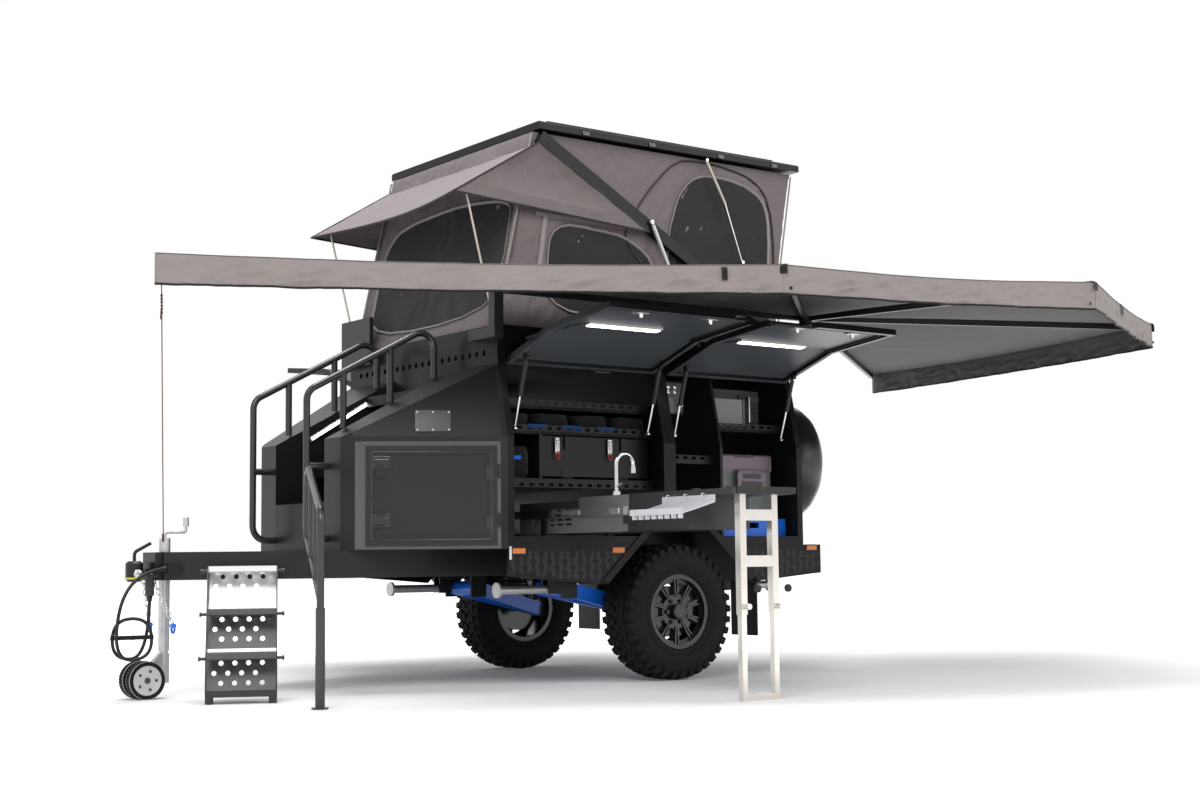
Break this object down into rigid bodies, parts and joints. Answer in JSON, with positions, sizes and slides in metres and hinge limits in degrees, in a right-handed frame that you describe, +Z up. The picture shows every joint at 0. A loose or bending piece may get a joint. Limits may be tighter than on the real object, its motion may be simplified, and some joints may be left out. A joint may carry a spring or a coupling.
{
  "type": "off-road camper trailer",
  "caption": "Off-road camper trailer set up for camping: nose stairs, open side hatches, slide-out kitchen, folding roof tent and wing awning",
  "frame": {"origin": "centre of the coupling's pin bore, half way along the bore", "axes": "+X from the coupling to the rear of the trailer, +Y to the trailer's right side, +Z up"},
  "size_m": [7.22, 4.7191, 3.2939],
  "materials": {
    "black_steel": "satin powder coat",
    "slide_blue": "satin powder coat",
    "rubber": "matt",
    "zinc": "zinc plated",
    "body_black": "fine textured powder coat",
    "interior_black": "satin powder coat",
    "body_graphite": "satin powder coat",
    "gunmetal": "gloss powder coat on tube",
    "plate": "brushed, punched plate",
    "cover_black": "coated vinyl cover",
    "bag_black": "woven canvas",
    "grey_plastic": "moulded",
    "stainless": "brushed",
    "chrome": "polished",
    "white_plastic": "moulded",
    "canvas_grey": "ripstop canvas",
    "awning_grey": "coated canvas",
    "arm_alloy": "anodised",
    "tyre_rubber": "matt",
    "alloy_black": "satin with a machined lip",
    "fridge_grey": "moulded"
  },
  "bodies": {
    "frame": {"chassis_frame": "black_steel", "coupling_head": "black_steel", "trailing_arms": "slide_blue", "spring_units": "rubber", "mud_flaps": "rubber", "jockey_post": "zinc", "body_shell": "body_black", "side_frames": "body_black", "side_skirts": "body_black", "interior_frame": "interior_black", "nose_lockers": "body_graphite", "nose_stairs": "body_black", "handrails": "gunmetal", "folding_steps": "plate", "spare_wheel": "cover_black", "storage_bags": "bag_black", "appliances": "grey_plastic", "kitchen_unit": "stainless", "kitchen_leg": "plate", "faucet": "chrome", "dish_tray": "white_plastic", "tent_tray": "body_black", "tent_walls": "canvas_grey", "tent_fly": "canvas_grey", "awning_canopy": "awning_grey", "awning_frame": "arm_alloy", "cable": "rubber", "cable_plug": "grey_plastic"},
    "wheel_left": {"tyre_left": "tyre_rubber", "rim_left": "alloy_black"},
    "wheel_right": {"tyre_right": "tyre_rubber", "rim_right": "alloy_black"},
    "jockey_fork": {"jockey_fork": "zinc"},
    "jockey_wheels": {"jockey_wheels": "white_plastic"},
    "stabiliser_front_left": {"stabiliser_front_left": "zinc"},
    "stabiliser_front_right": {"stabiliser_front_right": "zinc"},
    "stabiliser_rear_left": {"stabiliser_rear_left": "zinc"},
    "stabiliser_rear_right": {"stabiliser_rear_right": "zinc"},
    "locker_door_left": {"locker_door_left": "body_graphite"},
    "locker_door_right": {"locker_door_right": "body_graphite"},
    "hatch_front_left": {"hatch_front_left": "body_black"},
    "strut_tubes_front_left": {"strut_tubes_front_left": "black_steel"},
    "strut_rods_front_left": {"strut_rods_front_left": "chrome"},
    "hatch_front_right": {"hatch_front_right": "body_black"},
    "strut_tubes_front_right": {"strut_tubes_front_right": "black_steel"},
    "strut_rods_front_right": {"strut_rods_front_right": "chrome"},
    "hatch_rear_left": {"hatch_rear_left": "body_black"},
    "strut_tubes_rear_left": {"strut_tubes_rear_left": "black_steel"},
    "strut_rods_rear_left": {"strut_rods_rear_left": "chrome"},
    "hatch_rear_right": {"hatch_rear_right": "body_black"},
    "strut_tubes_rear_right": {"strut_tubes_rear_right": "black_steel"},
    "strut_rods_rear_right": {"strut_rods_rear_right": "chrome"},
    "cabinet_door": {"cabinet_door": "interior_black"},
    "fridge_slide": {"fridge_slide": "slide_blue", "fridge": "fridge_grey"},
    "tent_mid_frame": {"tent_mid_frame": "body_black"},
    "tent_lid": {"tent_lid": "body_black"},
    "tent_strut_tubes": {"tent_strut_tubes": "zinc"},
    "tent_strut_rods": {"tent_strut_rods": "chrome"}
  },
  "joints": [
    {"name": "wheel_spin_left", "type": "hinge", "parent": "frame", "child": "wheel_left", "pos_m": [3, -0.81, -0.262], "axis": [0, 1, 0], "continuous": true},
    {"name": "wheel_spin_right", "type": "hinge", "parent": "frame", "child": "wheel_right", "pos_m": [3, 0.81, -0.262], "axis": [0, 1, 0], "continuous": true},
    {"name": "jockey_swivel", "type": "hinge", "parent": "frame", "child": "jockey_fork", "pos_m": [0.17, 0, -0.414], "axis": [0, 0, 1], "continuous": true},
    {"name": "jockey_wheel_spin", "type": "hinge", "parent": "jockey_fork", "child": "jockey_wheels", "pos_m": [0.052, 0, -0.564], "axis": [0, 1, 0], "continuous": true},
    {"name": "stabiliser_front_left_swing", "type": "hinge", "parent": "frame", "child": "stabiliser_front_left", "pos_m": [2.3, -0.605, -0.119], "axis": [0, -1, 0], "range_deg": [0, 90]},
    {"name": "stabiliser_front_right_swing", "type": "hinge", "parent": "frame", "child": "stabiliser_front_right", "pos_m": [2.3, 0.605, -0.119], "axis": [0, -1, 0], "range_deg": [0, 90]},
    {"name": "stabiliser_rear_left_swing", "type": "hinge", "parent": "frame", "child": "stabiliser_rear_left", "pos_m": [3.64, -0.605, -0.119], "axis": [0, 1, 0], "range_deg": [0, 90]},
    {"name": "stabiliser_rear_right_swing", "type": "hinge", "parent": "frame", "child": "stabiliser_rear_right", "pos_m": [3.64, 0.605, -0.119], "axis": [0, 1, 0], "range_deg": [0, 90]},
    {"name": "locker_door_left_swing", "type": "hinge", "parent": "frame", "child": "locker_door_left", "pos_m": [1.70594, -0.95044, 0.151], "axis": [0, 0, 1], "range_deg": [0, 100]},
    {"name": "locker_door_right_swing", "type": "hinge", "parent": "frame", "child": "locker_door_right", "pos_m": [1.70594, 0.95044, 0.151], "axis": [0, 0, -1], "range_deg": [0, 100]},
    {"name": "hatch_front_left_swing", "type": "hinge", "parent": "frame", "child": "hatch_front_left", "pos_m": [2.3235, -0.8575, 1.186], "axis": [-1, 0, 0], "range_deg": [-46, 0]},
    {"name": "strut_tubes_front_left_swing", "type": "hinge", "parent": "hatch_front_left", "child": "strut_tubes_front_left", "pos_m": [2.3235, -0.99601, 1.1818], "axis": [-1, 0, 0], "range_deg": [0, 48.35]},
    {"name": "strut_rods_front_left_slide", "type": "slide", "parent": "strut_tubes_front_left", "child": "strut_rods_front_left", "axis": [0, 0.3113, -0.9503], "range_m": [-0.10734, 0]},
    {"name": "hatch_front_right_swing", "type": "hinge", "parent": "frame", "child": "hatch_front_right", "pos_m": [2.3235, 0.8575, 1.186], "axis": [1, 0, 0], "range_deg": [-96, 0]},
    {"name": "strut_tubes_front_right_swing", "type": "hinge", "parent": "hatch_front_right", "child": "strut_tubes_front_right", "pos_m": [2.3235, 0.99601, 1.1818], "axis": [1, 0, 0], "range_deg": [0, 120.59]},
    {"name": "strut_rods_front_right_slide", "type": "slide", "parent": "strut_tubes_front_right", "child": "strut_rods_front_right", "axis": [0, -0.3113, -0.9503], "range_m": [-0.15193, 0]},
    {"name": "hatch_rear_left_swing", "type": "hinge", "parent": "frame", "child": "hatch_rear_left", "pos_m": [3.483, -0.8575, 1.186], "axis": [-1, 0, 0], "range_deg": [-96, 0]},
    {"name": "strut_tubes_rear_left_swing", "type": "hinge", "parent": "hatch_rear_left", "child": "strut_tubes_rear_left", "pos_m": [3.483, -0.99601, 1.1818], "axis": [-1, 0, 0], "range_deg": [0, 120.59]},
    {"name": "strut_rods_rear_left_slide", "type": "slide", "parent": "strut_tubes_rear_left", "child": "strut_rods_rear_left", "axis": [0, 0.3113, -0.9503], "range_m": [-0.15193, 0]},
    {"name": "hatch_rear_right_swing", "type": "hinge", "parent": "frame", "child": "hatch_rear_right", "pos_m": [3.483, 0.8575, 1.186], "axis": [1, 0, 0], "range_deg": [-96, 0]},
    {"name": "strut_tubes_rear_right_swing", "type": "hinge", "parent": "hatch_rear_right", "child": "strut_tubes_rear_right", "pos_m": [3.483, 0.99601, 1.1818], "axis": [1, 0, 0], "range_deg": [0, 120.59]},
    {"name": "strut_rods_rear_right_slide", "type": "slide", "parent": "strut_tubes_rear_right", "child": "strut_rods_rear_right", "axis": [0, -0.3113, -0.9503], "range_m": [-0.15193, 0]},
    {"name": "cabinet_door_swing", "type": "hinge", "parent": "frame", "child": "cabinet_door", "pos_m": [2.4875, -0.80225, 0.522], "axis": [1, 0, 0], "range_deg": [0, 90]},
    {"name": "fridge_slide_out", "type": "slide", "parent": "frame", "child": "fridge_slide", "axis": [0, -1, 0], "range_m": [0, 0.56]},
    {"name": "tent_mid_frame_swing", "type": "hinge", "parent": "frame", "child": "tent_mid_frame", "pos_m": [4.008, 0, 1.378], "axis": [0, 1, 0], "range_deg": [-29.3, 0], "deforming": ["tent_walls", "tent_fly"]},
    {"name": "tent_lid_swing", "type": "hinge", "parent": "tent_mid_frame", "child": "tent_lid", "pos_m": [2.08942, 0, 2.53837], "axis": [0, 1, 0], "range_deg": [0, 29.3]},
    {"name": "tent_strut_tubes_swing", "type": "hinge", "parent": "tent_mid_frame", "child": "tent_strut_tubes", "pos_m": [2.878, 0, 2.079], "axis": [0, 1, 0], "range_deg": [-24.89, 0]},
    {"name": "tent_strut_rods_slide", "type": "slide", "parent": "tent_strut_tubes", "child": "tent_strut_rods", "axis": [0.4311, 0, -0.9023], "range_m": [-0.26096, 0]}
  ],
  "couplings": [
    {"joint": "strut_tubes_front_left_swing", "follows": "hatch_front_left_swing", "ratio": -1.051},
    {"joint": "strut_rods_front_left_slide", "follows": "hatch_front_left_swing", "m_per_rad": 0.13367},
    {"joint": "strut_tubes_front_right_swing", "follows": "hatch_front_right_swing", "ratio": -1.2562},
    {"joint": "strut_rods_front_right_slide", "follows": "hatch_front_right_swing", "m_per_rad": 0.090662},
    {"joint": "strut_tubes_rear_left_swing", "follows": "hatch_rear_left_swing", "ratio": -1.2562},
    {"joint": "strut_rods_rear_left_slide", "follows": "hatch_rear_left_swing", "m_per_rad": 0.090662},
    {"joint": "strut_tubes_rear_right_swing", "follows": "hatch_rear_right_swing", "ratio": -1.2562},
    {"joint": "strut_rods_rear_right_slide", "follows": "hatch_rear_right_swing", "m_per_rad": 0.090662},
    {"joint": "tent_lid_swing", "follows": "tent_mid_frame_swing", "ratio": -1},
    {"joint": "tent_strut_tubes_swing", "follows": "tent_mid_frame_swing", "ratio": 0.84945},
    {"joint": "tent_strut_rods_slide", "follows": "tent_mid_frame_swing", "m_per_rad": 0.51026}
  ]
}
